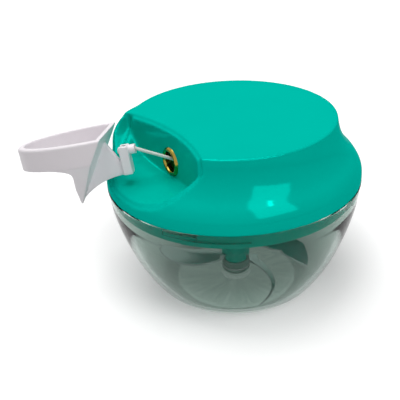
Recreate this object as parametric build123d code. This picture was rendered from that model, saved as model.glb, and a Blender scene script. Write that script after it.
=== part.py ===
"""A hand-held food chopper: a clear bowl, a lid with a pull cord inside, and blades on a spindle.

Millimetres, +Z up. The origin is the centre of the bowl's flat base. The cord pocket of the lid
faces -X. Seen from above, angles are measured from +X towards +Y.
"""
import math
import os

from build123d import *

os.makedirs("parts", exist_ok=True)

LOW = (Align.CENTER, Align.CENTER, Align.MIN)
overrun = 2.0
half_turn = 180

# Clearances
seat_gap = 0.3
running_fit = 0.06
press_fit = 0.02
stack_gap = 0.1

# Bowl
rim_radius = 60.0
bowl_height = 57.5
bowl_wall = 2.2
# The wall's outline, as shares of the height and of the rim radius
bowl_height_shares = (0.0, 0.05, 0.165, 0.35, 0.583, 0.80, 1.0)
bowl_radius_shares = (0.50, 0.625, 0.72, 0.822, 0.912, 0.972, 1.0)
rim_band = 8.0
post_radius = 7.5
post_height = 2.2
tab_count = 4
tab_angle = 16.0
tab_reach = 1.2
tab_height = 2.0
tab_drop = 4.0
tab_lead = 30.0

# Pivot pin that the blades turn on
pin_radius = 2.0
pin_length = 26.0
pin_sunk = 3.2
pin_nose = 0.6

# Lid housing
lid_height = 29.4
lid_top_radius = 48.3
lid_wall = 2.2
lid_band_share = 0.09
lid_profile_height_shares = (0.195, 0.33, 0.466, 0.602, 0.738, 1.0)
lid_profile_flare_shares = (0.965, 0.78, 0.484, 0.27, 0.13, 0.0)
lid_top_lean = 0.12

# Pocket for the handle in the side of the lid
pocket_back = 31.5
pocket_radius = 88.3
trough_half_width = 32.6
trough_floor = 6.4
# Half of the trough's outline, from the lid's top to the floor, as shares of its width and depth
trough_side_shares = (1.0, 0.963, 0.874, 0.70, 0.35)
trough_rise_shares = (1.0, 0.75, 0.48, 0.165, 0.015)
pocket_lip = 2.4
trough_lip = 0.7

# Eyelet of the cord
eyelet_side = 3.3
eyelet_height = 13.6
eyelet_bore = 3.9
eyelet_wall = 0.7
eyelet_flange = 6.7
eyelet_roll = 0.75
eyelet_back_flange = 5.7
eyelet_land = 0.5

# Lid base with its skirt
skirt_gap = 0.4
skirt_wall = 2.0
skirt_depth = 7.4
base_gap = 0.7
base_thickness = 2.2
lug_count = 4
lug_angle = 30.0
lug_reach = 1.2
lug_height = 2.0
lug_drop = 6.6
lug_start = -101.0
base_rib_radius = 33.5
base_rib_height = 3.0
base_rib_width = 1.6

# Screws that hold the base in the housing
screw_count = 4
screw_circle = 38.0
screw_first_angle = 45.0
screw_shank = 1.3
screw_head = 2.6
screw_head_height = 1.4
screw_length = 9.0
screw_slot_width = 0.7
screw_slot_depth = 0.6
screw_column = 3.5

# Seal between the skirt and the rim
seal_height = 1.0
seal_bulge = 0.25

# Drive hub and its bush
hub_radius = 9.0
hub_length = 17.2
hub_flange = 15.0
hub_flange_thickness = 1.8
hex_across = 11.4
hex_clearance = 0.2
hex_depth = 13.0
bush_wall = 1.6
bush_flange = 12.6
bush_flange_thickness = 1.0
bush_depth = 4.2
thrust_washer_thickness = 1.0
hub_screw_count = 3
hub_screw_circle = 12.0
hub_screw_shank = 0.9
hub_screw_head = 1.7
hub_screw_head_height = 1.0
hub_screw_length = 3.2

# Cord reel
reel_flange = 26.0
reel_flange_thickness = 1.4
drum_radius = 19.0
drum_wall = 2.2
reel_groove = 8.8
reel_floor = 2.0
reel_spoke_hole = 3.2
reel_spoke_circle = 22.6
reel_spoke_count = 12
cover_thickness = 1.2
cover_hole = 6.4

# Fixed axle and the arbor that holds the spring
axle_radius = 2.5
axle_into_boss = 5.5
boss_radius = 6.5
arbor_radius = 4.6
arbor_slot = 0.9

# Spiral spring
spring_strip = 0.45
spring_width = 6.0
spring_turns = 5
spring_inner = 5.3

# Cord
cord_radius = 0.75
winding_turns = 5
cord_azimuth = 157.2
cord_rise = 23.4
handle_inset = 7.4
cord_corner_side = -2.5
cord_corner_lift = 0.5
cord_bend = 3.0
cord_entry_depth = 0.8

# Pull handle, in its own frame: X away from the lid, Z up, the origin at the middle of its top edge
handle_turn = 146.0
handle_dip = 9.4
handle_roll = 10.7
ring_centre = 9.7
ring_half_length = 32.4
ring_half_width = 19.9
ring_wall = 3.0
ring_height = 10.2
ring_round = 1.0
keel_reach = 19.3
keel_depth = 31.4
keel_tip = 0.9
shield_wall = 2.0
throat_reach = 31.0
throat_bulge_share = 0.42
throat_drop_share = 0.40
block_front = -3.0
block_back = -7.2
block_half_width = 3.2
block_top = -8.0
block_bottom = -21.0
web_half_width = 1.3
web_top = -3.8
web_notch = -15.5
web_hollow = 2.6
ferrule_radius = 2.15
ferrule_bore = 1.15
ferrule_length = 3.0
ferrule_height = -10.2
knot_radius = 2.0
knot_cavity = 2.4
knot_depth = 3.0

# Blades and the stack that holds them
spindle_bore_depth = 24.0
spindle_flange = 7.0
spindle_flange_thickness = 1.6
spindle_neck = 3.6
spindle_flat = 0.7
spacer_radius = 7.0
blade_thickness = 0.9
blade_fit = 0.1
lower_spacer_height = 5.2
middle_spacer_height = 11.6
cap_height = 12.0
cap_below_hub = 3.0
blade_root = 7.0
# Each blade: its gap to the bowl's wall, then the angles of its tip and root
lower_blade_gap = 1.0
lower_blade_tip = -106.0
lower_blade_lead = -35.0
lower_blade_root = 25.0
lower_back_share = 0.46
lower_front_share = 0.34
lower_back_angle = -50.0
lower_front_angle = -53.0
middle_blade_gap = 1.0
middle_blade_tip = 140.0
middle_blade_root = -160.0
upper_blade_gap = 3.6
upper_blade_tip = -77.0
upper_blade_root = -17.0
wide_back_share = 0.74
wide_front_share = 0.60
wide_back_lag = 23.0
wide_front_lag = -2.0

# Heights that follow from the sizes above
lid_low = bowl_height + seat_gap
lid_top = lid_low + lid_height
flare = rim_radius - lid_top_radius
rim_inside = rim_radius - bowl_wall
skirt_radius = rim_inside - tab_reach - skirt_gap
base_radius = rim_radius - lid_wall - base_gap
base_low = bowl_height + stack_gap
base_top = base_low + base_thickness
bush_top = base_top + bush_flange_thickness
hub_flange_low = bush_top + thrust_washer_thickness + 2 * stack_gap
hub_flange_top = hub_flange_low + hub_flange_thickness
hub_low = hub_flange_top - hub_length
reel_low = hub_flange_top
groove_low = reel_low + reel_floor + reel_flange_thickness
groove_top = groove_low + reel_groove
reel_top = groove_top + reel_flange_thickness
axle_low = hub_flange_top - hub_flange_thickness / 2
ceiling = lid_top - lid_wall
boss_low = reel_top + seat_gap + cover_thickness
axle_top = boss_low + axle_into_boss
cord_drum_radius = drum_radius + 3 * cord_radius + seat_gap


def ring(outer, inner, low, high):
    """An upright tube between two heights."""
    body = Cylinder(outer, high - low, align=LOW)
    body -= Pos(0, 0, -overrun) * Cylinder(inner, high - low + 2 * overrun, align=LOW)
    return Pos(0, 0, low) * body


def disc(radius, low, high):
    """An upright round bar between two heights."""
    return Pos(0, 0, low) * Cylinder(radius, high - low, align=LOW)


def around(count, circle, first_angle, shape):
    """The same shape at even steps on a circle."""
    step = 360 / count
    places = [first_angle + step * k for k in range(count)]
    return [Rot(0, 0, a) * Pos(circle, 0, 0) * shape for a in places]


def polar(radius, angle):
    """A plan point."""
    turn = math.radians(angle)
    return (radius * math.cos(turn), radius * math.sin(turn))


def sector(outer, inner, angle, low, high):
    """A piece of a ring, centred on +X."""
    a = polar(outer, angle / 2)
    b = polar(inner, angle / 2)
    outline = ThreePointArc((a[0], -a[1]), (outer, 0), a) + Line(a, b)
    outline += ThreePointArc(b, (inner, 0), (b[0], -b[1])) + Line((b[0], -b[1]), (a[0], -a[1]))
    return Pos(0, 0, low) * extrude(make_face(outline), high - low)


def turned(outline):
    """A closed outline in the XZ plane, revolved about Z."""
    return revolve(make_face(Plane.XZ * outline), Axis.Z)


# Bowl
def bowl_form(radius, low, high):
    """The bowl's round form, solid."""
    span = high - low
    shares = list(zip(bowl_radius_shares, bowl_height_shares))
    wall = [(radius * r, low + span * h) for r, h in shares]
    outline = Spline(*wall) + Line(wall[-1], (0, high)) + Line((0, high), (0, low))
    return turned(outline + Line((0, low), wall[0]))


def wall_inside(height):
    """The radius inside the bowl at a height, by straight steps between the outline's points."""
    share = (height - bowl_wall) / (bowl_height - bowl_wall / 2)
    steps = list(zip(bowl_height_shares, bowl_radius_shares))
    for (low, near), (high, far) in zip(steps, steps[1:]):
        if share <= high:
            return rim_inside * (near + (far - near) * (share - low) / (high - low))
    return rim_inside


def bowl_tabs():
    """Tabs inside the rim that the lid's lugs turn under."""
    low = bowl_height - tab_drop
    tab = sector(rim_inside + bowl_wall / 2, rim_inside - tab_reach, tab_angle, low, low + tab_height)
    return around(tab_count, 0, lug_start - tab_lead, tab)


def make_bowl():
    body = bowl_form(rim_radius, 0, bowl_height)
    body -= bowl_form(rim_inside, bowl_wall, bowl_height + bowl_wall / 2)
    body -= disc(rim_inside, bowl_height - rim_band, bowl_height + overrun)
    body += disc(post_radius, bowl_wall / 2, bowl_wall + post_height)
    body -= disc(pin_radius + press_fit, pin_low, bowl_height)
    for tab in bowl_tabs():
        body += tab
    return body


pin_low = bowl_wall + post_height - pin_sunk


def make_pivot_pin():
    pin = disc(pin_radius, pin_low + press_fit, pin_low + pin_length)
    return chamfer(pin.edges().sort_by(Axis.Z)[-1], pin_nose)


# Lid housing
def lid_form(inset, low, high):
    """The housing's round form, solid, moved in by a wall."""
    rises = [lid_low + lid_height * h for h in (lid_band_share, *lid_profile_height_shares)]
    reaches = [lid_top_radius + flare * f - inset for f in (1, *lid_profile_flare_shares)]
    wall = list(zip(reaches, rises))
    outline = Spline(*wall, tangents=((0, 1), (-lid_top_lean, 1)))
    outline += Line(wall[-1], (0, lid_top)) + Line((0, lid_top), (0, lid_low))
    outline += Line((0, lid_low), (reaches[0], lid_low)) + Line((reaches[0], lid_low), wall[0])
    body = turned(outline)
    return body & disc(rim_radius + overrun, low, high)


def trough(grow):
    """The groove along X for the handle, cut into the lid's side and top."""
    side = trough_half_width + grow
    deep = lid_height - trough_floor + grow
    half = [(side * s, lid_top - deep + deep * h) for s, h in zip(trough_side_shares, trough_rise_shares)]
    mirrored = [(-y, z) for y, z in reversed(half)]
    high = lid_top + overrun
    outline = Spline(*half, (0, lid_top - deep), *mirrored) + Line(mirrored[-1], (-side, high))
    outline += Line((-side, high), (side, high)) + Line((side, high), half[0])
    return extrude(make_face(Plane.YZ * outline), rim_radius + overrun, dir=(-1, 0, 0))


def scoop():
    """The wide upright arc that ends the trough, flared at the lid's top into a round lip."""
    low = lid_low - overrun
    high = lid_top + overrun
    foot = (pocket_radius, lid_top - pocket_lip)
    brow = (pocket_radius + pocket_lip, lid_top)
    fall = pocket_lip * math.sin(math.pi / 4)
    outline = Line((0, low), (pocket_radius, low)) + Line((pocket_radius, low), foot)
    outline += ThreePointArc(foot, (brow[0] - fall, foot[1] + fall), brow)
    outline += Line(brow, (brow[0], high)) + Line((brow[0], high), (0, high)) + Line((0, high), (0, low))
    return Pos(-pocket_centre, 0, 0) * turned(outline)


pocket_centre = pocket_back + pocket_radius
eyelet_z = lid_low + eyelet_height
wall_face = pocket_centre - math.sqrt(pocket_radius**2 - eyelet_side**2)
land_face = wall_face - eyelet_land
wall_back = pocket_back - lid_wall
eyelet_place = Pos(-land_face, eyelet_side, eyelet_z) * Rot(0, -90, 0)


def lid_shell():
    """The solid lid with its pocket: whole inside the scoop's arc, grooved outside it."""
    form = lid_form(0, lid_low, lid_top)
    grooved = form - trough(0)
    rim = [e for e in grooved.edges() if e.geom_type != GeomType.CIRCLE and abs(e.center().Y) < overrun]
    grooved = fillet(max(rim, key=lambda e: e.length), trough_lip)
    return (form - scoop()) + (grooved & scoop())


def make_lid_housing():
    arc = Pos(-pocket_centre, 0, 0) * disc(pocket_radius + lid_wall, lid_low - overrun, lid_top)
    cavity = lid_form(lid_wall, lid_low - overrun, ceiling) - (trough(lid_wall) & arc)
    shell = lid_shell() - cavity
    column = ring(screw_column, screw_shank + press_fit, base_top, ceiling + lid_wall / 2)
    column += disc(screw_column, base_top + screw_length, ceiling + lid_wall / 2)
    for place in around(screw_count, screw_circle, screw_first_angle, column):
        shell += place
    boss = disc(boss_radius, boss_low, ceiling + lid_wall / 2)
    boss -= disc(axle_radius + press_fit, boss_low - overrun, axle_top)
    shell += boss
    hole = eyelet_bore + eyelet_wall + press_fit
    drill = Cylinder(hole, lid_wall * 3)
    shell -= eyelet_place * drill
    land = Cylinder(eyelet_flange + seat_gap, overrun, align=LOW)
    return shell - eyelet_place * land


def make_cord_eyelet():
    """A rolled brass eyelet: a barrel with a domed flange at each end, turned about its own axis."""
    outer = eyelet_bore + eyelet_wall
    back = land_face - wall_back + seat_gap
    roll = eyelet_roll
    outline = Line((eyelet_bore, roll), (eyelet_bore, -back - roll))
    outline += ThreePointArc(
        (eyelet_bore, -back - roll),
        (eyelet_bore + roll, -back - 2 * roll + roll / 4),
        (eyelet_back_flange, -back - roll),
    )
    outline += Line((eyelet_back_flange, -back - roll), (eyelet_back_flange, -back))
    outline += Line((eyelet_back_flange, -back), (outer, -back)) + Line((outer, -back), (outer, 0))
    outline += Line((outer, 0), (eyelet_flange, 0))
    outline += ThreePointArc((eyelet_flange, 0), (outer + roll, 2 * roll), (eyelet_bore, roll))
    return eyelet_place * revolve(make_face(Plane.XZ * outline), Axis.Z)


# Lid base, seal and screws
def make_lid_base():
    skirt_low = bowl_height - skirt_depth
    inner = skirt_radius - skirt_wall
    plate = disc(base_radius, base_low, base_top)
    plate += ring(skirt_radius, inner, skirt_low, base_top)
    lug_low = bowl_height - lug_drop
    lug = sector(skirt_radius + lug_reach, inner + skirt_wall / 2, lug_angle, lug_low, lug_low + lug_height)
    for place in around(lug_count, 0, lug_start, lug):
        plate += place
    rib_low = base_low - base_rib_height
    plate += ring(base_rib_radius, base_rib_radius - base_rib_width, rib_low, base_top)
    sleeve = bush_bore + bush_wall
    plate += ring(sleeve + bush_wall, sleeve + press_fit, base_top - bush_depth - bush_wall, base_top)
    plate -= disc(sleeve + press_fit, base_low - overrun, base_top + overrun)
    hole = disc(screw_shank + press_fit, base_low - overrun, base_top + overrun)
    for place in around(screw_count, screw_circle, screw_first_angle, hole):
        plate -= place
    return plate


bush_bore = hub_radius + running_fit


def make_lid_seal():
    """A flat ring with a soft bead outside, between the skirt and the rim."""
    inner = skirt_radius + stack_gap
    outer = rim_inside - seat_gap
    high = base_low - stack_gap
    low = high - seal_height
    middle = (low + high) / 2
    outline = Line((inner, low), (outer - seal_bulge, low))
    outline += ThreePointArc((outer - seal_bulge, low), (outer, middle), (outer - seal_bulge, high))
    outline += Line((outer - seal_bulge, high), (inner, high)) + Line((inner, high), (inner, low))
    return turned(outline)


def screw(shank, head, head_height, length, slot_width, slot_depth):
    """A round-headed screw, head down, its seat at the height zero."""
    dome = disc(head, -head_height, 0)
    dome = fillet(dome.edges().sort_by(Axis.Z)[0], head_height / 2)
    slot = Pos(0, 0, -head_height - overrun) * Box(
        2 * head + overrun, slot_width, slot_depth + overrun, align=LOW
    )
    return dome - slot + disc(shank, 0, length)


def make_base_screws():
    one = screw(screw_shank, screw_head, screw_head_height, screw_length + base_thickness / 2,
                screw_slot_width, screw_slot_depth)
    placed = around(screw_count, screw_circle, screw_first_angle, Pos(0, 0, base_low) * one)
    return Compound(children=placed)


def make_hub_bush():
    sleeve = ring(bush_bore + bush_wall, bush_bore, base_top - bush_depth, bush_top)
    return sleeve + ring(bush_flange, bush_bore, base_top, bush_top)


# Reel and what turns with it
def hexagon(across, low, high):
    return Pos(0, 0, low) * extrude(RegularPolygon(across / 2, 6, major_radius=False), high - low)


def make_drive_hub():
    hub = disc(hub_radius, hub_low, hub_flange_top) + disc(hub_flange, hub_flange_low, hub_flange_top)
    hub -= hexagon(hex_across, hub_low - overrun, hub_low + hex_depth)
    hub -= disc(axle_radius + running_fit, axle_low, hub_flange_top + overrun)
    hole = disc(hub_screw_shank + press_fit, hub_flange_low - overrun, hub_flange_top + overrun)
    for place in around(hub_screw_count, hub_screw_circle, 0, hole):
        hub -= place
    return hub


def make_thrust_washer():
    low = bush_top + stack_gap
    return ring(bush_flange, bush_bore, low, low + thrust_washer_thickness)


def make_cord_reel():
    bore = axle_radius + running_fit
    reel = ring(reel_flange, bore, reel_low, groove_low)
    reel -= ring(reel_flange + overrun, drum_radius + reel_flange_thickness, reel_low - overrun,
                 groove_low - reel_flange_thickness)
    reel += disc(drum_radius, reel_low, reel_top) + disc(reel_flange, groove_top, reel_top)
    reel -= disc(drum_radius - drum_wall, reel_low + reel_floor, reel_top + overrun)
    reel -= disc(bore, reel_low - overrun, reel_top + overrun)
    hole = disc(hub_screw_shank + press_fit, reel_low - overrun, reel_low + reel_floor + overrun)
    for place in around(hub_screw_count, hub_screw_circle, 0, hole):
        reel -= place
    window = disc(reel_spoke_hole / 2, groove_low - overrun, reel_top + overrun)
    for place in around(reel_spoke_count, reel_spoke_circle, 0, window):
        reel -= place
    return reel


def make_hub_screws():
    one = screw(hub_screw_shank, hub_screw_head, hub_screw_head_height, hub_screw_length,
                hub_screw_shank / 2, hub_screw_head_height / 2)
    upside_down = Pos(0, 0, reel_low + reel_floor) * Rot(180, 0, 0) * one
    return Compound(children=around(hub_screw_count, hub_screw_circle, 0, upside_down))


def make_cord_winding():
    """The cord on the drum: turns side by side, drawn as one ribbed sleeve."""
    pitch = (reel_groove - 2 * seat_gap) / winding_turns
    low = groove_low + seat_gap
    inner = drum_radius + stack_gap
    outer = drum_radius + 2 * cord_radius
    waist = outer - cord_radius / 2
    outline = Line((inner, low), (waist, low))
    for k in range(winding_turns):
        start = low + pitch * k
        outline += ThreePointArc((waist, start), (outer, start + pitch / 2), (waist, start + pitch))
    top = low + pitch * winding_turns
    outline += Line((waist, top), (inner, top)) + Line((inner, top), (inner, low))
    return turned(outline)


def make_reel_cover():
    low = reel_top - cover_thickness
    return ring(drum_radius - drum_wall - press_fit, cover_hole, low, reel_top)


def make_axle_pin():
    return disc(axle_radius, axle_low + stack_gap, axle_top - stack_gap)


def make_spring_arbor():
    low = reel_low + reel_floor + stack_gap
    arbor = ring(arbor_radius, axle_radius + press_fit, low, boss_low - stack_gap)
    slot = Pos(arbor_radius, 0, low) * Box(arbor_radius, arbor_slot, spring_width + overrun, align=LOW)
    return arbor - slot


def make_mainspring():
    """A flat strip wound in half turns, each half turn about one of two centres."""
    outer = drum_radius - drum_wall - seat_gap - spring_strip
    step = (outer - spring_inner) / (2 * spring_turns)
    low = reel_low + reel_floor + hub_screw_head_height + seat_gap
    size = 2 * drum_radius
    spring = None
    for k in range(2 * spring_turns):
        radius = spring_inner + step * k + step / 2
        centre = step / 2 if k % 2 else 0
        side = Align.MAX if k % 2 else Align.MIN
        coil = ring(radius + spring_strip / 2, radius - spring_strip / 2, low, low + spring_width)
        keep = Pos(0, 0, low) * Box(size, size, spring_width, align=(Align.CENTER, side, Align.MIN))
        half = Pos(centre, 0, 0) * (coil & keep)
        spring = half if spring is None else spring + half
    return spring


# Cord and handle
corner_x = -wall_back + seat_gap + eyelet_roll
corner_y = eyelet_side + cord_corner_side
corner_distance = math.hypot(corner_x, corner_y)
corner_bearing = math.degrees(math.atan2(corner_y, corner_x))
inner_azimuth = corner_bearing - math.degrees(math.asin(cord_drum_radius / corner_distance))
inner_way = Vector(*polar(1, inner_azimuth), 0)
inner_run = math.sqrt(corner_distance**2 - cord_drum_radius**2)
rise = math.radians(cord_rise)
cord_out = rim_radius - pocket_back - handle_inset
cord_way = Vector(*polar(math.cos(rise), cord_azimuth), math.sin(rise))
cord_corner = Vector(corner_x, corner_y, eyelet_z + cord_corner_lift)
cord_start = cord_corner - inner_way * inner_run
handle_tip = cord_corner + cord_way * cord_out
handle_spin = Rot(0, 0, handle_turn) * Rot(0, handle_dip, 0) * Rot(handle_roll, 0, 0)
tip_in_handle = Pos(block_back - ferrule_length, 0, ferrule_height)
tip_offset = (handle_spin * tip_in_handle).position
handle_origin = handle_tip - tip_offset
handle_place = Pos(handle_origin.X, handle_origin.Y, handle_origin.Z) * handle_spin


def make_pull_cord():
    """Taut from the drum to the back edge of the eyelet, and taut again to the handle."""
    end = handle_tip + cord_way * cord_entry_depth
    path = FilletPolyline(cord_start, cord_corner, end, radius=cord_bend)
    section = Plane(origin=cord_start, z_dir=inner_way) * Circle(cord_radius)
    tube = sweep(section, path=path)
    ideal = path.length * math.pi * cord_radius**2
    print("pull cord: bend radius", cord_bend, "length", round(path.length, 1))
    print("pull cord: volume", round(tube.volume, 2), "section times length", round(ideal, 2))
    return tube


def oval(inset):
    return Pos(ring_centre, 0, 0) * Ellipse(ring_half_length - inset, ring_half_width - inset)


def prow(inset):
    """The tapered part under the ring: the ring's oval drawn down to the keel tip."""
    high = Pos(0, 0, -ring_height + inset) * oval(inset)
    low = Pos(keel_reach, 0, -keel_depth + inset * 2) * Ellipse(keel_tip, keel_tip / 2)
    return loft([low, high])


def throat():
    """Cuts the prow's front to a hollow curve, from the ring's underside to the keel tip."""
    high = (throat_reach, -ring_height)
    tip = (keel_reach + keel_tip, -keel_depth)
    span = (high[0] - tip[0], high[1] - tip[1])
    via = (tip[0] + span[0] * throat_bulge_share, high[1] - span[1] * throat_drop_share)
    far = ring_centre + ring_half_length + overrun
    deep = tip[1] - overrun
    outline = ThreePointArc(high, via, tip) + Line(tip, (tip[0], deep)) + Line((tip[0], deep), (far, deep))
    outline += Line((far, deep), (far, high[1])) + Line((far, high[1]), high)
    return extrude(make_face(Plane.XZ * outline), ring_half_width + overrun, both=True)


def behind(offset):
    """All that lies on the lid's side of the sloping shield, moved towards the finger by an offset."""
    slope = math.hypot(keel_reach, keel_depth)
    shift = offset * slope / keel_depth
    rise = overrun
    foot = keel_depth + overrun
    top = (rise * -keel_reach / keel_depth + shift, rise)
    bottom = (foot * keel_reach / keel_depth + shift, -foot)
    far = -ring_half_length
    outline = Line(top, bottom) + Line(bottom, (far, -foot))
    outline += Line((far, -foot), (far, rise)) + Line((far, rise), top)
    return extrude(make_face(Plane.XZ * outline), ring_half_width + overrun, both=True)


def make_pull_handle():
    """A finger ring whose lid end runs down into a sloping shield with a keel."""
    band = Pos(0, 0, -ring_height) * extrude(oval(0), ring_height)
    band = fillet(band.edges().sort_by(Axis.Z)[-1], ring_round)
    body = band + (prow(0) - throat())
    finger = Pos(0, 0, -ring_height - overrun) * extrude(oval(ring_wall), ring_height + 2 * overrun)
    hollow = (finger + prow(shield_wall)) - behind(shield_wall)
    body = body - hollow - behind(0)
    web_foot = (keel_reach - keel_tip, -keel_depth + keel_tip)
    shield_top = (web_top * -keel_reach / keel_depth + shield_wall / 2, web_top)
    foot_inside = (web_foot[0] + shield_wall / 2, web_foot[1])
    notch = (block_front, web_notch)
    block_foot = (block_front, block_bottom)
    middle = ((block_front + foot_inside[0]) / 2, (block_bottom + foot_inside[1]) / 2 + web_hollow)
    outline = Line(shield_top, notch) + Line(notch, block_foot)
    outline += ThreePointArc(block_foot, middle, foot_inside) + Line(foot_inside, shield_top)
    body += extrude(make_face(Plane.XZ * outline), web_half_width, both=True)
    size = (block_front - block_back, 2 * block_half_width, block_top - block_bottom)
    block = Pos(block_back, 0, block_bottom) * Box(*size, align=(Align.MIN, Align.CENTER, Align.MIN))
    body += block
    bore = Cylinder(ferrule_bore, size[0] + overrun, align=LOW)
    body -= Pos(block_back - overrun / 2, 0, ferrule_height) * Rot(0, 90, 0) * bore
    cavity = Cylinder(knot_cavity, knot_depth + overrun, align=LOW)
    body -= Pos(block_front - knot_depth, 0, ferrule_height) * Rot(0, 90, 0) * cavity
    return handle_place * body


def make_cord_ferrule():
    """The short sleeve on the back of the handle that the cord goes into."""
    sleeve = Cylinder(ferrule_radius, ferrule_length, align=LOW)
    sleeve -= Pos(0, 0, -overrun) * Cylinder(ferrule_bore, ferrule_length + 2 * overrun, align=LOW)
    return handle_place * Pos(block_back, 0, ferrule_height) * Rot(0, -90, 0) * sleeve


def make_cord_knot():
    place = Pos(block_front - knot_depth + knot_radius + stack_gap, 0, ferrule_height)
    return handle_place * place * Sphere(knot_radius)


# Blades and their spindle
spindle_low = bowl_wall + post_height + stack_gap
lower_blade_z = spindle_low + spindle_flange_thickness
middle_blade_z = lower_blade_z + blade_thickness + lower_spacer_height
upper_blade_z = middle_blade_z + blade_thickness + middle_spacer_height
cap_low = upper_blade_z + blade_thickness
hex_low = hub_low - cap_below_hub
stack_top = hex_low + cap_height
lower_blade_reach = wall_inside(lower_blade_z) - lower_blade_gap
middle_blade_reach = wall_inside(middle_blade_z) - middle_blade_gap
upper_blade_reach = wall_inside(upper_blade_z) - upper_blade_gap


def neck(extra, low, high):
    """The spindle's neck, a round bar with two flats that the blades and spacers slide on."""
    bar = disc(spindle_neck + extra, low, high)
    width = 2 * (spindle_neck - spindle_flat + extra)
    return bar & (Pos(0, 0, low) * Box(width, 4 * spindle_neck, high - low, align=LOW))


def make_blade_spindle():
    body = disc(spindle_flange, spindle_low, lower_blade_z) + neck(0, spindle_low, hex_low)
    return body - disc(pin_radius + running_fit, spindle_low - overrun, spindle_low + spindle_bore_depth)


def spacer(low, high):
    return disc(spacer_radius, low, high) - neck(blade_fit, low - overrun, high + overrun)


def make_spindle_cap():
    """The top spacer, whose six-sided head goes into the drive hub."""
    body = disc(spacer_radius, cap_low, hex_low)
    body += hexagon(hex_across - 2 * hex_clearance, hex_low, stack_top)
    return body - neck(blade_fit, cap_low - overrun, hex_low + blade_fit)


def blade(low, reach, tip_angle, lead_angle, root_angle, back, front):
    """A curved blade: a back and a cutting edge that meet at the tip, on a root ring."""
    tip = polar(reach, tip_angle)
    lead = polar(blade_root, lead_angle)
    trail = polar(blade_root, root_angle)
    outline = ThreePointArc(trail, polar(reach * back[0], back[1]), tip)
    outline += ThreePointArc(tip, polar(reach * front[0], front[1]), lead)
    outline += Line(lead, (0, 0)) + Line((0, 0), trail)
    flat = extrude(make_face(outline), blade_thickness)
    body = Pos(0, 0, low) * flat + disc(spacer_radius, low, low + blade_thickness)
    return body - neck(blade_fit, low - overrun, low + overrun)


def wide_blade(low, reach, tip_angle, root_angle):
    turn = 1 if math.sin(math.radians(root_angle - tip_angle)) > 0 else -1
    back = (wide_back_share, tip_angle + turn * wide_back_lag)
    front = (wide_front_share, tip_angle + turn * wide_front_lag)
    return blade(low, reach, tip_angle, tip_angle, root_angle, back, front)


def make_lower_blade():
    back = (lower_back_share, lower_back_angle)
    front = (lower_front_share, lower_front_angle)
    angles = (lower_blade_tip, lower_blade_lead, lower_blade_root)
    return blade(lower_blade_z, lower_blade_reach, *angles, back, front)


pieces = {
    "bowl": make_bowl(),
    "pivot_pin": make_pivot_pin(),
    "lid_seal": make_lid_seal(),
    "lid_housing": make_lid_housing(),
    "cord_eyelet": make_cord_eyelet(),
    "lid_base": make_lid_base(),
    "base_screws": make_base_screws(),
    "hub_bush": make_hub_bush(),
    "axle_pin": make_axle_pin(),
    "spring_arbor": make_spring_arbor(),
    "mainspring": make_mainspring(),
    "drive_hub": make_drive_hub(),
    "thrust_washer": make_thrust_washer(),
    "cord_reel": make_cord_reel(),
    "hub_screws": make_hub_screws(),
    "cord_winding": make_cord_winding(),
    "reel_cover": make_reel_cover(),
    "pull_cord": make_pull_cord(),
    "pull_handle": make_pull_handle(),
    "cord_ferrule": make_cord_ferrule(),
    "cord_knot": make_cord_knot(),
    "blade_spindle": make_blade_spindle(),
    "lower_blade": make_lower_blade(),
    "lower_spacer": spacer(lower_blade_z + blade_thickness, middle_blade_z),
    "middle_blade": wide_blade(middle_blade_z, middle_blade_reach, middle_blade_tip, middle_blade_root),
    "middle_spacer": spacer(middle_blade_z + blade_thickness, upper_blade_z),
    "upper_blade": wide_blade(upper_blade_z, upper_blade_reach, upper_blade_tip, upper_blade_root),
    "spindle_cap": make_spindle_cap(),
}

for name, shape in pieces.items():
    export_step(shape, f"parts/{name}.step")
    print(name, round(shape.volume, 2))

print("handle tip", handle_tip, "cord way", cord_way)
print("stack top", round(stack_top, 2), "hub low", round(hub_low, 2))
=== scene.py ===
# %% [markdown]
# # A hand-pulled food chopper
# A clear bowl stands under a glossy round lid. A ring handle on a cord comes out of a pocket in the lid,
# and pulling it spins the curved blades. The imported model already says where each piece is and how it
# moves, but its faces are flat and its colours plain. So the pieces that show are modelled again here with
# smooth faces, and each gets a finish of its own. Lengths are written in millimetres, and MM turns them
# into Blender's metres.

import math

import bpy
from mathutils import Euler, Matrix, Vector


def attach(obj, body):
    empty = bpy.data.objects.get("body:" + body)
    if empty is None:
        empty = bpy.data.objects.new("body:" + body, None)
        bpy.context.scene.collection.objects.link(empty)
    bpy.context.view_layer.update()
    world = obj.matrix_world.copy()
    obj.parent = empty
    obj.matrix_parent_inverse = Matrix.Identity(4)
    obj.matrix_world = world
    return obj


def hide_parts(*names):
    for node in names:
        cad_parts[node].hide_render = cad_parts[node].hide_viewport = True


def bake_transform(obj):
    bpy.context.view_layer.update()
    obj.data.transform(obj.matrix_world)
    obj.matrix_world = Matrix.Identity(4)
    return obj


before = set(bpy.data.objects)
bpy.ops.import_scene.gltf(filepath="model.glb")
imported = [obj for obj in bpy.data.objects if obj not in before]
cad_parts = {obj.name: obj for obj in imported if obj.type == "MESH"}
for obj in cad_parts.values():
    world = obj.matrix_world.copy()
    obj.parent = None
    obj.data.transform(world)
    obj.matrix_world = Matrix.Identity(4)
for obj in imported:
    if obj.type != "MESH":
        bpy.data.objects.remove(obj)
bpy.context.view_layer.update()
MM = 0.001

# %% [markdown]
# ## The camera
# A picture taken close up with a long lens shows a little perspective. The camera stands 410 mm away, looks
# down at 28 degrees and is tilted a few degrees about its own axis. It is set first, because everything
# that follows is judged through it.

# %% Camera
camera_place = Vector((-185.4, -288.1, 225.8)) * MM
camera_look = Vector((0.4416, 0.7649, -0.4689))
camera_roll = math.radians(-2.927)

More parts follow.
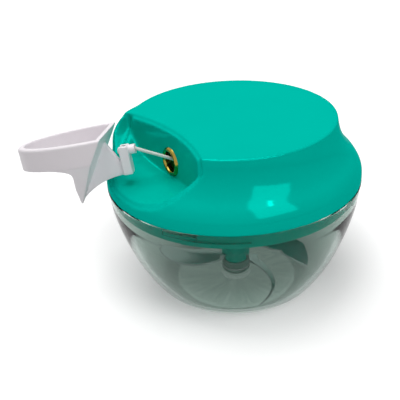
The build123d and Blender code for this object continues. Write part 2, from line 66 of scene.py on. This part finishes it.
bpy.ops.object.camera_add(location=camera_place)
camera = bpy.context.object
camera.name = "camera"
camera.data.lens = 72
camera.data.sensor_width = 36
camera.data.clip_start = 0.01
aim = camera_look.to_track_quat("-Z", "Y").to_matrix().to_4x4()
camera.rotation_euler = (aim @ Matrix.Rotation(camera_roll, 4, "Z")).to_euler()
scene = bpy.context.scene
scene.camera = camera
scene.view_settings.view_transform = "Standard"
print("camera at", [round(c, 3) for c in camera.location])

# %% [markdown]
# ## Shader sums
# A finish is a small sum: a base colour, a little noise, a bump. Blender writes such sums as nodes, which
# can be placed one by one, but then the sum is hard to see. One small class wraps a socket instead, so that
# `1 - mask * 0.2` adds its Math nodes by itself and the recipe stays readable.


# %% Shader helper
class Wire:
    """A socket in a node tree, for sums of numbers."""

    def __init__(self, recipe, socket):
        self.recipe = recipe
        self.socket = socket

    def __add__(self, other):
        return self.recipe.sum("ADD", self, other)

    def __sub__(self, other):
        return self.recipe.sum("SUBTRACT", self, other)

    def __rsub__(self, other):
        return self.recipe.sum("SUBTRACT", other, self)

    def __mul__(self, other):
        return self.recipe.sum("MULTIPLY", self, other)

    def __pow__(self, other):
        return self.recipe.sum("POWER", self, other)

    __radd__ = __add__
    __rmul__ = __mul__


class Recipe:
    """A node tree, and one way to add nodes to it."""

    def __init__(self, tree):
        self.nodes = tree.nodes
        self.links = tree.links

    def put(self, socket, value):
        """Gives a socket a link or a plain value."""
        if isinstance(value, Wire):
            self.links.new(value.socket, socket)
        else:
            socket.default_value = value

    def node(self, kind, settings=None, inputs=None, out=0):
        """Any node: its type, its settings, its sockets, and which output is wanted."""
        made = self.nodes.new(kind)
        for key, value in (settings or {}).items():
            setattr(made, key, value)
        for key, value in (inputs or {}).items():
            self.put(made.inputs[key], value)
        return Wire(self, made.outputs[out])

    def sum(self, operation, a, b):
        return self.node("ShaderNodeMath", {"operation": operation}, {0: a, 1: b})

    def seen(self):
        """1 for what the camera sees, straight, mirrored or through the bowl, and 0 for other light."""
        camera_ray, glossy, through = (self.node("ShaderNodeLightPath", out=kind) for kind in
                                       ("Is Camera Ray", "Is Glossy Ray", "Is Transmission Ray"))
        return self.sum("MAXIMUM", self.sum("MAXIMUM", camera_ray, glossy), through)


class Paint(Recipe):
    """A new material with one Principled shader."""

    def __init__(self, name, **sockets):
        self.material = bpy.data.materials.new(name)
        self.material.use_nodes = True
        super().__init__(self.material.node_tree)
        self.shader = self.nodes["Principled BSDF"]
        self.set(**sockets)

    def set(self, **sockets):
        for name, value in sockets.items():
            self.put(self.shader.inputs[name.replace("_", " ")], value)

    def place(self):
        return self.node("ShaderNodeTexCoord", out="Object")

    def noise(self, scale, detail, stretch=None):
        where = self.place()
        if stretch:
            where = self.node("ShaderNodeMapping", {}, {"Vector": where, "Scale": stretch})
        inputs = {"Vector": where, "Scale": scale, "Detail": detail}
        return self.node("ShaderNodeTexNoise", {}, inputs)

    def mix(self, mask, a, b):
        """Two colours mixed by a mask."""
        settings = {"data_type": "RGBA"}
        return self.node("ShaderNodeMix", settings, {"Factor": mask, 6: a, 7: b}, out=2)

    def bump(self, height, strength, distance):
        inputs = {"Height": height, "Strength": strength, "Distance": distance}
        return self.node("ShaderNodeBump", {}, inputs)


def shaded(colour, share):
    """A colour made a little darker or lighter, with the alpha that a socket wants."""
    return (*[c * share for c in colour], 1)


print("shaded white:", shaded((1, 1, 1), 0.5))

# %% [markdown]
# ## Plastics
# The lid is coloured all through and moulded in a polished tool, so it is smooth, with a faint waviness
# that only its highlights show. Its gloss is teal too: a small metallic share does that, where a plain
# gloss would lay the white of the room over the colour and grey it. The parts inside come from a duller
# tool. The handle is a pale plastic with a fine grain. All of them share one recipe, because they differ in
# colour and gloss alone.


# %% Plastic finishes
def moulded(name, colour, roughness, wave=0.05, grain=0.0, **sockets):
    """A moulded plastic: an even colour, a faint waviness and worn-in gloss."""
    paint = Paint(name, IOR=1.5, **sockets)
    cloud = paint.noise(scale=35, detail=4)
    fine = paint.noise(scale=1400, detail=2)
    paint.set(Base_Color=paint.mix(cloud, shaded(colour, 0.96), shaded(colour, 1.03)))
    paint.set(Roughness=roughness * (0.85 + cloud * 0.2 + fine * 0.1))
    height = paint.noise(scale=60, detail=1) * wave + fine * grain
    paint.set(Normal=paint.bump(height, strength=0.5, distance=0.0004))
    return paint


TEAL = (0.0, 0.52, 0.415)
INNER_TEAL = (0.0, 0.40, 0.31)
SMOKE = (0.25, 0.35, 0.32)
PALE = (0.93, 0.88, 0.92)
MILK = (0.74, 0.74, 0.72)
RUBBER = (0.60, 0.63, 0.61)
GLOSS_TINT = (0.05, 1.0, 0.9, 1)

teal = moulded("teal_plastic", TEAL, 0.09,
               Metallic=0.15, Specular_IOR_Level=0.0, Specular_Tint=GLOSS_TINT)
inner_teal = moulded("inner_teal_plastic", INNER_TEAL, 0.34, grain=0.05, Specular_Tint=GLOSS_TINT)
smoky = moulded("smoky_plastic", SMOKE, 0.4, grain=0.05, Specular_IOR_Level=0.2)
pale = moulded("handle_plastic", PALE, 0.38, wave=0.03, grain=0.12)
white = moulded("white_plastic", MILK, 0.45, grain=0.15)
soft = moulded("seal_rubber", RUBBER, 0.6, grain=0.2)
print("plastics:", [p.material.name for p in (teal, inner_teal, smoky, pale, white, soft)])

# %% [markdown]
# Clear plastic lets most light through and bends it a little. Its tint could be set as a volume, which
# takes long to render, so it is set on the base colour, which colours the light at each face that it
# passes. The bending is set weaker than in a thick block, because a thin wall shows what is inside nearly
# where it is. Faint scuffs from washing are set in the roughness.

# %% Clear plastic
CLEAR_DEEP = (0.47, 0.565, 0.525, 1)
CLEAR_THIN = (0.51, 0.595, 0.56, 1)
clear = Paint("clear_plastic", Transmission_Weight=1.0, IOR=1.15, Specular_IOR_Level=1.0)
haze = clear.noise(scale=90, detail=5)
scuff = clear.noise(scale=260, detail=2, stretch=(1, 1, 0.15))
clear.set(Base_Color=clear.mix(haze, CLEAR_DEEP, CLEAR_THIN))
clear.set(Roughness=0.01 + haze * 0.02 + (scuff ** 6) * 0.3)
print("clear plastic:", clear.material.name)

# %% [markdown]
# ## Metals
# Turned and ground metal has fine lines that run one way. Noise that is stretched along one direction makes
# them, and it changes the gloss more than the height, as real tool marks do. The eyelet is plated brass and
# nearly without lines.


# %% Metals
def metal(name, colour, roughness, stretch, depth=0.05):
    """A metal with fine drawn lines, which run where the noise is stretched least."""
    paint = Paint(name, Metallic=1.0)
    lines = paint.noise(scale=600, detail=3, stretch=stretch)
    cloud = paint.noise(scale=40, detail=3)
    paint.set(Base_Color=paint.mix(cloud, shaded(colour, 0.9), shaded(colour, 1.0)))
    paint.set(Roughness=roughness + (lines - 0.5) * 0.12 + cloud * 0.05)
    paint.set(Normal=paint.bump(lines * depth, strength=0.4, distance=0.0003))
    return paint


brass = metal("brass_plate", (0.36, 0.26, 0.05), 0.14, stretch=(1, 1, 1), depth=0.02)
steel = metal("turned_steel", (0.62, 0.62, 0.64), 0.28, stretch=(0.2, 0.2, 4))
ground = metal("ground_steel", (0.60, 0.62, 0.63), 0.16, stretch=(0.1, 1.6, 1), depth=0.01)
spring = metal("spring_steel", (0.22, 0.24, 0.30), 0.3, stretch=(0.3, 0.3, 3))
print("metals:", [p.material.name for p in (brass, steel, ground, spring)])

# %% [markdown]
# ## Braid
# The cord's braid crosses in small diamonds. Real strands would need thousands of faces on a cord that is
# only 1.5 mm thick. Two sets of bands that lean opposite ways over it give the same diamonds, and the bump
# raises each strand.

# %% Braid
braid = Paint("braided_cord", Sheen_Weight=0.3)
lean = {"bands_direction": "DIAGONAL"}
bands = {"Scale": 700.0, "Distortion": 1.0}
along = braid.place()
mirrored = braid.node("ShaderNodeMapping", {}, {"Vector": along, "Scale": (1, -1, -1)})
strands = braid.node("ShaderNodeTexWave", lean, {"Vector": along, **bands})
crossing = braid.node("ShaderNodeTexWave", lean, {"Vector": mirrored, **bands})
weave = strands * crossing
braid.set(Base_Color=braid.mix(weave, (0.76, 0.77, 0.73, 1), (0.95, 0.95, 0.92, 1)))
braid.set(Roughness=0.75 - weave * 0.15, Normal=braid.bump(weave, strength=0.5, distance=0.00015))
print("braid:", braid.material.name)

# %% [markdown]
# ## Working by selection
# An operator acts on everything that is selected. So each step first lets go of all pieces and then takes
# hold of the one that it works on. Once a piece is done, its place, turn and size go into its mesh, so that
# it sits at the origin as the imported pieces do.


# %% Selection helpers
def clear_selection():
    for held in bpy.context.selected_objects:
        held.select_set(False)


def only(piece):
    """Selects one piece and makes it the active one."""
    clear_selection()
    piece.select_set(True)
    bpy.context.view_layer.objects.active = piece


def settle(piece):
    """Puts a piece's place, turn and size into its mesh."""
    only(piece)
    bpy.ops.object.transform_apply(location=True, rotation=True, scale=True)


clear_selection()
print("selected:", len(bpy.context.selected_objects))

# %% [markdown]
# ## The cord
# The cord leaves the reel inside the lid, turns over the back edge of the eyelet and runs taut to the
# handle. A chain of cylinders would break at the bend. A curve with a round bevel stays whole.

# %% Cord route
cord_radius = 0.75 * MM
cord_corner = Vector((-28.25, 0.8, 71.9)) * MM
to_handle = Vector((-0.846044, 0.355644, 0.397148)) * MM
to_drum = Vector((0.6251, -0.7806, 0)) * MM
drum_reach, bend_reach, handle_reach = 18.284, 5, 21.9
cord_points = [
    cord_corner + to_drum * drum_reach,
    cord_corner + to_drum * bend_reach,
    cord_corner,
    cord_corner + to_handle * bend_reach,
    cord_corner + to_handle * handle_reach,
]
curve = bpy.data.curves.new("pull_cord_line", "CURVE")
curve.dimensions = "3D"
line = curve.splines.new("NURBS")
line.points.add(len(cord_points) - 1)
for point, place in zip(line.points, cord_points):
    point.co = (*place, 1)
line.order_u = 3
line.use_endpoint_u = True
line.resolution_u = 12
route = bpy.data.objects.new("cord_line", curve)
bpy.context.collection.objects.link(route)
cord_path = [tuple(v.co) for v in bpy.data.meshes.new_from_object(route).vertices]
print("cord route of", len(cord_path), "points")

# %% Pull cord
curve.bevel_depth = cord_radius
curve.bevel_resolution = 6
curve.use_fill_caps = True
only(route)
bpy.ops.object.convert(target="MESH")
cord = bpy.context.object
bpy.ops.object.shade_smooth_by_angle(angle=math.radians(50))
cord.data.materials.append(braid.material)
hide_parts("pull_cord")
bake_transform(cord)
print(cord.name, len(cord.data.polygons), "faces between lid and handle")

# %% [markdown]
# ## Round pieces
# Most pieces of the chopper are round, so one way of working serves them all. It starts with a circle,
# extrudes its edge and resizes each new ring, as a potter pulls up a wall. A Screw modifier would do it
# too, but the rings can be given one by one as a plain list of stations: the distance from the axis and the
# height above the table.


# %% Outline helpers
def eased(points, steps=6):
    """A smooth line through points, as a list of stations."""
    smooth = []
    for k in range(len(points) - 1):
        before = points[max(k - 1, 0)]
        after = points[min(k + 2, len(points) - 1)]
        for s in range(steps):
            t = s / steps
            smooth.append(tuple(
                0.5 * (2 * p + (q - o) * t + (2 * o - 5 * p + 4 * q - r) * t * t
                       + (3 * p - o - 3 * q + r) * t ** 3)
                for o, p, q, r in zip(before, points[k], points[k + 1], after)))
    return smooth + [points[-1]]


def pulled_up(stations, axes, centre=(0, 0, 0)):
    """Extrudes what is selected from height to height, and resizes each new ring about a centre."""
    for (a, low), (b, high) in zip(stations, stations[1:]):
        bpy.ops.mesh.extrude_region_move(TRANSFORM_OT_translate={"value": (0, 0, (high - low) * MM)})
        growth = [b / a if axis in axes else 1 for axis in "XYZ"]
        bpy.ops.transform.resize(value=growth, center_override=centre)


def closed_up(merge=False):
    """Points all faces outwards and leaves edit mode, after merging doubles where that is asked for."""
    bpy.ops.mesh.select_all(action="SELECT")
    if merge:
        bpy.ops.mesh.remove_doubles(threshold=0.00001)
    bpy.ops.mesh.normals_make_consistent(inside=False)
    bpy.ops.object.mode_set(mode="OBJECT")


def turned(name, stations, segments=160, joined=False):
    """A turned piece. Its outline either comes back to its start or is closed by a face at each end."""
    clear_selection()
    reach, height = stations[0]
    bpy.ops.mesh.primitive_circle_add(vertices=segments, radius=reach * MM, location=(0, 0, height * MM))
    piece = bpy.context.object
    piece.name = name
    bpy.ops.object.mode_set(mode="EDIT")
    pulled_up(stations, "XY")
    if not joined:
        bpy.ops.mesh.edge_face_add()
        bpy.ops.mesh.select_all(action="DESELECT")
        bpy.ops.mesh.select_non_manifold()
        bpy.ops.mesh.edge_face_add()
    closed_up(merge=joined)
    settle(piece)
    return piece


print("a line through 3 points has", len(eased([(0, 0), (1, 1), (2, 0)])), "stations")


# %% Shaping helpers
def cut(piece, cutter, operation="DIFFERENCE"):
    """A boolean, applied, that uses up its cutter."""
    only(piece)
    boolean = piece.modifiers.new("cut", "BOOLEAN")
    boolean.object = cutter
    boolean.operation = operation
    boolean.solver = "EXACT"
    bpy.ops.object.modifier_apply(modifier="cut")
    bpy.data.objects.remove(cutter, do_unlink=True)


def softened(piece, voxel, passes):
    """Turns a cut shape to even small faces and relaxes them, which rounds every edge a little."""
    only(piece)
    remesh = piece.modifiers.new("even", "REMESH")
    remesh.mode = "VOXEL"
    remesh.voxel_size = voxel * MM
    bpy.ops.object.modifier_apply(modifier="even")
    relax = piece.modifiers.new("relax", "SMOOTH")
    relax.factor = 0.5
    relax.iterations = passes
    bpy.ops.object.modifier_apply(modifier="relax")
    print(piece.name, "softened to", len(piece.data.polygons), "faces")


def dress(piece, body, paint, slot, *nodes, angle=35):
    """Shades a piece, paints it and says what it rides on and stands for."""
    only(piece)
    bpy.ops.object.shade_smooth_by_angle(angle=math.radians(angle))
    piece.data.materials.clear()
    piece.data.materials.append(paint.material)
    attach(piece, body)
    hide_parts(*nodes)
    print(piece.name, len(piece.data.polygons), "faces on", body)


# %% [markdown]
# ## The lid
# The lid's side bulges low down, draws in with a hollow curve and ends in a flat disc. It could be a sphere
# that is flattened, but only its own outline gives the crisp edge round the disc. So it is turned, as a
# solid form that the pocket is then cut from.

# %% Lid outline
lid_low, lid_top = 57.8, 87.2
lid_side = [(60, 57.8), (60, 60.4), (59.6, 63.5), (57.4, 67.5), (53.95, 71.5), (51.45, 75.5), (49.8, 79.5),
            (48.7, 84.2), (48.3, 87.2)]
cover = turned("lid_cover", [(57.3, 61), (57.3, lid_low)] + eased(lid_side))
print("lid outline of", len(lid_side), "stations, widest at", round(1000 * max(cover.dimensions)), "mm")

# %% [markdown]
# The lid isn't quite round. At the far corner of the pocket its side stands out as a shoulder, which gives
# the handle room when it is put away. A Warp modifier pulls the side outwards there, from one mark to
# another, and less and less round it, so the shoulder flows into the round form.


# %% Shoulder
def drawn_out(piece, azimuth, radius, height, way, reach):
    """Pulls the side of a piece outwards round one place."""
    turn = math.radians(azimuth)
    outward = Vector((math.cos(turn), math.sin(turn), 0)) * MM
    marks = []
    for distance in (radius, radius + way):
        clear_selection()
        bpy.ops.object.empty_add(location=outward * distance + Vector((0, 0, height * MM)))
        marks.append(bpy.context.object)
    only(piece)
    warp = piece.modifiers.new("pull", "WARP")
    warp.object_from, warp.object_to = marks
    warp.falloff_type = "SMOOTH"
    warp.falloff_radius = reach * MM
    bpy.ops.object.modifier_apply(modifier="pull")
    for mark in marks:
        bpy.data.objects.remove(mark, do_unlink=True)


drawn_out(cover, azimuth=141, radius=50, height=78.5, way=6.3, reach=17)
widest = max(v.co.to_2d().length for v in cover.data.vertices)
print("shoulder drawn, the lid still reaches", round(widest / MM, 1), "mm from the axis")

# %% [markdown]
# ## The pocket
# The handle's pocket is scooped out of the lid: an upright arc makes its back wall and a long trough its
# floor. Cutting with what these two crossed shapes share gives the same meeting lines as the real tool. A
# second cut, a little larger but only skin deep, leaves the stepped lip round the edge. Small even faces,
# relaxed a little, then round that lip as the tool maker's polishing does.

# %% Pocket shapes
pocket_back, arc_radius = 31.5, 88.3
trough_length = 62
trough_half = [(1, 64.2), (11.4, 64.55), (22.8, 68.0), (28.5, 75.2), (31.4, 81.4), (32.6, 87.2), (32.6, 92)]


def strip(start, end, width, height):
    """A flat rectangle along X, held in edit mode."""
    clear_selection()
    bpy.ops.mesh.primitive_plane_add(size=1)
    piece = bpy.context.object
    piece.scale = ((end - start) * MM, width * MM, 1)
    piece.location = ((start + end) / 2 * MM, 0, height * MM)
    settle(piece)
    bpy.ops.object.mode_set(mode="EDIT")
    bpy.ops.mesh.select_all(action="SELECT")
    return piece


def trough(grow):
    """A long bar along X: a strip at the trough's floor, extruded upwards and widened in Y."""
    stations = [(half + grow, height - grow) for half, height in eased(trough_half)]
    half, height = stations[0]
    bar = strip(-trough_length, 0, 2 * half, height)
    pulled_up(stations, "Y")
    closed_up()
    return bar


def pocket(grow):
    """The trough, kept only where the wide upright arc reaches."""
    clear_selection()
    bpy.ops.mesh.primitive_cylinder_add(vertices=512, radius=(arc_radius + grow) * MM, depth=40 * MM,
                                        location=(-(pocket_back + arc_radius) * MM, 0, 75 * MM))
    arc = bpy.context.object
    settle(arc)
    cut(arc, trough(grow), "INTERSECT")
    return arc


print("pocket", pocket_back, "mm from the axis, with a trough of", len(trough_half), "stations")

# %% Pocket cuts
lip_depth = 1.5
lip_top = (lid_side[-1][0] - lip_depth, lid_top - lip_depth)
lip_outline = eased([(r - lip_depth, z) for r, z in lid_side[:-1]] + [lip_top])
lip = pocket(lip_depth)
cut(lip, turned("lip_core", [(40, lid_low - 3)] + lip_outline))
cut(cover, pocket(0))
cut(cover, lip)

eyelet_place = Vector((-31.062, 3.3, 71.4)) * MM
clear_selection()
bpy.ops.mesh.primitive_cylinder_add(vertices=64, radius=4.7 * MM, depth=12 * MM, location=eyelet_place,
                                    rotation=(0, math.radians(90), 0))
drill = bpy.context.object
settle(drill)
cut(cover, drill)
softened(cover, voxel=0.63, passes=6)
dress(cover, "lid", teal, "teal", "lid_housing", angle=50)

# %% [markdown]
# ## The eyelet
# A brass eyelet keeps the cord from sawing through the plastic. It is a short tube whose front edge is
# rolled over. A torus on a cylinder would leave a seam between them, so its outline is one closed loop that
# is turned about the cord's hole.

# %% Eyelet
roll = eased([(4.6, 0.5), (4.85, 1.1), (5.35, 1.5), (5.95, 1.45), (6.5, 1.0), (6.95, 0.45), (7.1, 0.0)], 3)
tube = [(6.9, -0.15), (4.68, -0.2), (4.68, -3.4), (4.5, -3.4)]
eyelet = turned("eyelet", roll + tube + roll[:1], segments=64, joined=True)
eyelet.rotation_euler = (0, math.radians(-90), 0)
eyelet.location = eyelet_place
settle(eyelet)
dress(eyelet, "lid", brass, "brass", "cord_eyelet")

# %% [markdown]
# ## The handle
# The handle is a finger ring whose lid side runs down into a sloping shield with a keel. Its flats are
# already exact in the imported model, so a copy of that solid is used. Only the throat on the finger's side
# is hollowed deeper on the real handle. It is cut with a bar that lies across the handle. The bar's outline
# is drawn in the handle's own frame, whose origin is the middle of the ring's top edge, because there it is
# a plain curve from the keel up to the ring's underside.

# %% Throat
throat_line = eased([(20.2, -34), (19.9, -30.9), (19.4, -27), (18.6, -22), (17.5, -18), (16.8, -15.2),
                     (17.1, -13.2), (19.1, -11.9), (22.9, -10.7), (26, -10.25)])
throat_end, throat_width = 60, 50
sleeve_reach = 21.1
sleeve_end = Vector((-10.2, 0, -10.2)) * MM
handle_turn = Euler([math.radians(angle) for angle in (10.7, 9.4, 146)])
handle_place = cord_corner + to_handle * sleeve_reach - handle_turn.to_matrix() @ sleeve_end

throat_start, throat_low = throat_line[0]
throat = strip(throat_start, throat_end, throat_width, throat_low)
pulled_up([(throat_end - x, z) for x, z in throat_line], "X", centre=(throat_end * MM, 0, 0))
closed_up()
throat.rotation_euler = handle_turn
throat.location = handle_place
settle(throat)
print("handle's frame at", [round(1000 * c, 2) for c in handle_place], "mm")

# %% [markdown]
# The copy's loose triangles are merged before the cut. Then it gets small even faces and is relaxed, which
# rounds its edges as a mould does. A Bevel modifier would need clean edge loops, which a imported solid
# doesn't have.

# %% Handle
bpy.context.view_layer.update()
only(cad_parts["pull_handle"])
bpy.ops.object.duplicate()
handle = bpy.context.object
handle.name = "handle_ring"
handle.parent = None
bpy.ops.object.mode_set(mode="EDIT")
bpy.ops.mesh.select_all(action="SELECT")
bpy.ops.mesh.remove_doubles(threshold=0.00001)
bpy.ops.object.mode_set(mode="OBJECT")
cut(handle, throat)
softened(handle, voxel=0.4, passes=4)
dress(handle, "handle", pale, "handle", "pull_handle", angle=40)

# %% [markdown]
# ## The bowl
# The bowl is one clear wall that swells from a flat foot to its rim. A Solidify modifier could thicken one
# skin, but here the wall isn't even: near the top the inside is straight, and the ledge where that begins
# shows as a thin dark line. So outside and inside are two outlines, joined at the rim and on the floor.

# %% Bowl wall
rim_radius, bowl_height, bowl_wall = 60, 57.5, 2.2
inner_radius, inner_rise = rim_radius - bowl_wall, 56.4
ledge_height, ledge_step = 49.3, 0.9
wall_shares = [(0.50, 0.0), (0.625, 0.05), (0.72, 0.165), (0.822, 0.35), (0.912, 0.583), (0.972, 0.80),
               (1.0, 1.0)]

foot_line = [(1, 0), (15, 0)]
outside = eased([(rim_radius * r, bowl_height * h) for r, h in wall_shares])[:-1]
rim_line = [(rim_radius, 57.1), (59.7, bowl_height), (58.1, bowl_height), (inner_radius, 57.2),
            (inner_radius, 49.5)]
inside = eased([(inner_radius * r, bowl_wall + inner_rise * h) for r, h in wall_shares])
inside = [(r + ledge_step * (z / ledge_height) ** 6, z) for r, z in inside if z < ledge_height]
post_line = [(20, bowl_wall), (7.5, bowl_wall), (7.5, 4.0), (7.1, 4.4), (1, 4.4)]
bowl = turned("bowl_wall", foot_line + outside + rim_line + inside[::-1] + post_line, segments=192)
print("bowl wall of", len(outside), "stations outside and", len(inside), "inside")

# %% [markdown]
# Inside the rim are four tabs that hold the lid's lugs. Tabs and lugs are short pieces of a ring. Each is a
# small upright rectangle that is spun about the lid's axis, which bends it exactly as the wall is bent.

# %% Bowl tabs
quarter_turns = (0, 90, 180, 270)


def ring_part(name, inner, outer, low, high, middle, width):
    """A short piece of a ring, from its radii and heights and the angles of its middle and width."""
    clear_selection()
    bpy.ops.mesh.primitive_plane_add(size=MM, rotation=(math.radians(90), 0, 0))
    part = bpy.context.object
    part.name = name
    part.scale = (outer - inner, high - low, 1)
    part.location = ((inner + outer) / 2 * MM, 0, (low + high) / 2 * MM)
    settle(part)
    part.rotation_euler = (0, 0, math.radians(middle - width / 2))
    settle(part)
    bpy.ops.object.mode_set(mode="EDIT")
    bpy.ops.mesh.select_all(action="SELECT")
    bpy.ops.mesh.spin(steps=12, angle=math.radians(width), center=(0, 0, 0), axis=(0, 0, 1))
    closed_up(merge=True)
    return part


for turn in quarter_turns:
    tab = ring_part("tab", inner=56.6, outer=58.2, low=53.5, high=55.5, middle=turn - 131, width=16)
    cut(bowl, tab, "UNION")
dress(bowl, "bowl", clear, "bowl_clear", "bowl")

# %% [markdown]
# ## The lid's underside
# A skirt under the lid goes into the bowl and shows through its rim as a darker band. It is turned as one
# closed outline with the lid's floor, as it is moulded. Its four lugs turn under the bowl's tabs.

# %% Skirt
skirt_line = [(57.1, 59.8), (57.1, 57.6), (56.2, 57.6), (56.2, 50.5), (55.9, 50.1), (54.5, 50.1), (54.2, 50.5),
              (54.2, 57.6), (33.5, 57.6), (33.5, 54.6), (31.9, 54.6), (31.9, 57.6), (12.3, 57.6), (12.3, 54),
              (10.7, 54), (10.7, 59.8), (57.1, 59.8)]
skirt = turned("lid_skirt", skirt_line, joined=True)
lugs = [ring_part("lug", inner=55.5, outer=57.4, low=50.9, high=52.9, middle=turn - 101, width=30)
        for turn in quarter_turns]
only(skirt)
for lug in lugs:
    lug.select_set(True)
bpy.ops.object.join()
dress(skirt, "lid", inner_teal, "teal", "lid_base")

# %% [markdown]
# A thin rubber ring lies in the corner between the skirt and the rim. A torus would be too round for it: it
# is a flat band that only bulges a little on its outside.

# %% Seal
seal_line = [(56.3, 56.5), (57.4, 56.5), (57.5, 57.0), (57.4, 57.5), (56.3, 57.5), (56.3, 56.5)]
seal = turned("rim_seal", seal_line, joined=True)
dress(seal, "seal", soft, "seal", "lid_seal")

# %% [markdown]
# ## The blades' column
# The blades sit between sleeves on one spindle. From outside, the upper sleeves look like one teal column,
# and the spindle's foot like a smoky one with a groove. So two turned pieces stand for the four solids,
# whose hidden bores would cost faces and never show.

# %% Column
cap_line = [(5.2, 10), (6.5, 10), (7, 10.5), (7, 43.0), (6.5, 43.6), (5.6, 43.6), (5.6, 55.4), (5.2, 55.6)]
cap = turned("column_cap", cap_line, segments=96)
dress(cap, "blades", inner_teal, "teal", "spindle_cap", "middle_spacer")
stem_line = [(3, 4.5), (6.6, 4.5), (7, 4.9), (7, 6.1), (6.7, 6.5), (7, 7.2), (7, 9.5), (6.7, 9.9), (3, 9.9)]
stem = turned("column_stem", stem_line, segments=96)
dress(stem, "blades", smoky, "teal", "blade_spindle", "lower_spacer")

# %% [markdown]
# ## Pieces kept as they are
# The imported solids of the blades, the reel, the screws and the pins already have the right shape, and most
# of them are hidden. Modelling them again would add nothing, so each only gets a finish in place of its
# plain colour.

# %% Finishes for the kept pieces
kept = [
    (steel, ["pivot_pin", "axle_pin", "spring_arbor", "base_screws", "hub_screws"]),
    (ground, ["lower_blade", "middle_blade", "upper_blade"]),
    (spring, ["mainspring"]),
    (inner_teal, ["drive_hub"]),
    (white, ["hub_bush", "thrust_washer", "cord_reel", "reel_cover"]),
    (braid, ["cord_winding", "cord_knot"]),
    (pale, ["cord_ferrule"]),
]
for finish, names in kept:
    for name in names:
        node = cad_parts[name]
        node.data.materials.clear()
        node.data.materials.append(finish.material)
print("kept pieces:", sum(len(names) for finish, names in kept))

# %% [markdown]
# ## The table
# The chopper stands on a table that is to look white. More light would make it white, and would bleach the
# chopper too. So the table is only pale and also glows, for those rays alone that reach the camera
# straight, in a reflection or through the bowl. The glow is weaker in a round patch under and just behind
# the bowl. That is painted shade, which darkens the table round the foot and what is seen of it through the
# wall.

# %% Table
bpy.ops.mesh.primitive_plane_add(size=6)
floor = bpy.context.object
floor.name = "table"
table = Paint("table_white", Roughness=0.9, Specular_IOR_Level=0.1, Emission_Strength=0.6)
paper = table.noise(scale=8, detail=3)
# A round patch of painted shade: within 45 mm of a point 40 mm behind the bowl's axis the glow drops to 0.38 of
# its strength, and 100 mm away it is full again.
painted_shade_middle = (0.02, 0.035, 0)
from_painted_shade = table.node("ShaderNodeVectorMath", {"operation": "DISTANCE"},
                   {0: table.place(), 1: painted_shade_middle}, out="Value")
glow_past_painted_shade = table.node("ShaderNodeMapRange", {"interpolation_type": "SMOOTHSTEP"},
                        {"Value": from_painted_shade, "From Min": 0.045, "From Max": 0.10, "To Min": 0.38})
table.set(Base_Color=table.mix(paper, (0.69, 0.69, 0.69, 1), (0.71, 0.71, 0.71, 1)))
# The glow that the camera sees, straight, mirrored or through the bowl, is dimmed by that painted shade near the
# bowl.
table.set(Emission_Color=table.seen() * glow_past_painted_shade)
floor.data.materials.append(table.material)
print("table:", floor.name)

# %% [markdown]
# ## The lights
# A wide lamp above and behind makes the lid's flat top the brightest face. An upright one in front makes
# the bright patch on the bulged side. It is aimed over the lid, because that is how its reflection comes
# out nearly square. A tiny one adds the spark in the patch.


# %% Lights
def softbox(name, place, target, height, width, power):
    data = bpy.data.lights.new(name, "AREA")
    data.shape = "RECTANGLE"
    data.size = width
    data.size_y = height
    data.energy = power
    lamp = bpy.data.objects.new(name, data)
    lamp.location = place
    lamp.rotation_euler = (Vector(target) - Vector(place)).to_track_quat("-Z", "Y").to_euler()
    bpy.context.collection.objects.link(lamp)


softbox("light_above", place=(-0.15, 0.3, 1.4), target=(0, 0, 0.08), height=1.2, width=1.2, power=16)
softbox("light_front", place=(0.052, -0.718, 0.735), target=(-0.016, -0.052, 0.568), height=0.67, width=0.52,
        power=2.5)
softbox("light_bulb", place=(0.0619, -0.5439, 0.6961), target=(-0.016, -0.052, 0.070), height=0.045, width=0.045,
        power=0.06)

# %% [markdown]
# The room itself gives a low even light, so that the shadows aren't black. Where the camera sees it, the
# room is plain white, and so it is in every reflection and through the bowl. Two backgrounds, mixed by the
# kind of ray, do that without more light on the chopper.

# %% World
WHITE = (1, 1, 1, 1)
room_light = 0.16
room_seen = 1.0
world = bpy.data.worlds.new("studio")
scene.world = world
world.use_nodes = True
sky = Recipe(world.node_tree)
sky.nodes.remove(sky.nodes["Background"])
dim, plain = (sky.node("ShaderNodeBackground", {}, {"Color": WHITE, "Strength": strength})
              for strength in (room_light, room_seen))
choice = sky.node("ShaderNodeMixShader", {}, {0: sky.seen(), 1: dim, 2: plain})
sky.put(sky.nodes["World Output"].inputs["Surface"], choice)
print("world:", world.name, "with", len(sky.nodes), "nodes")
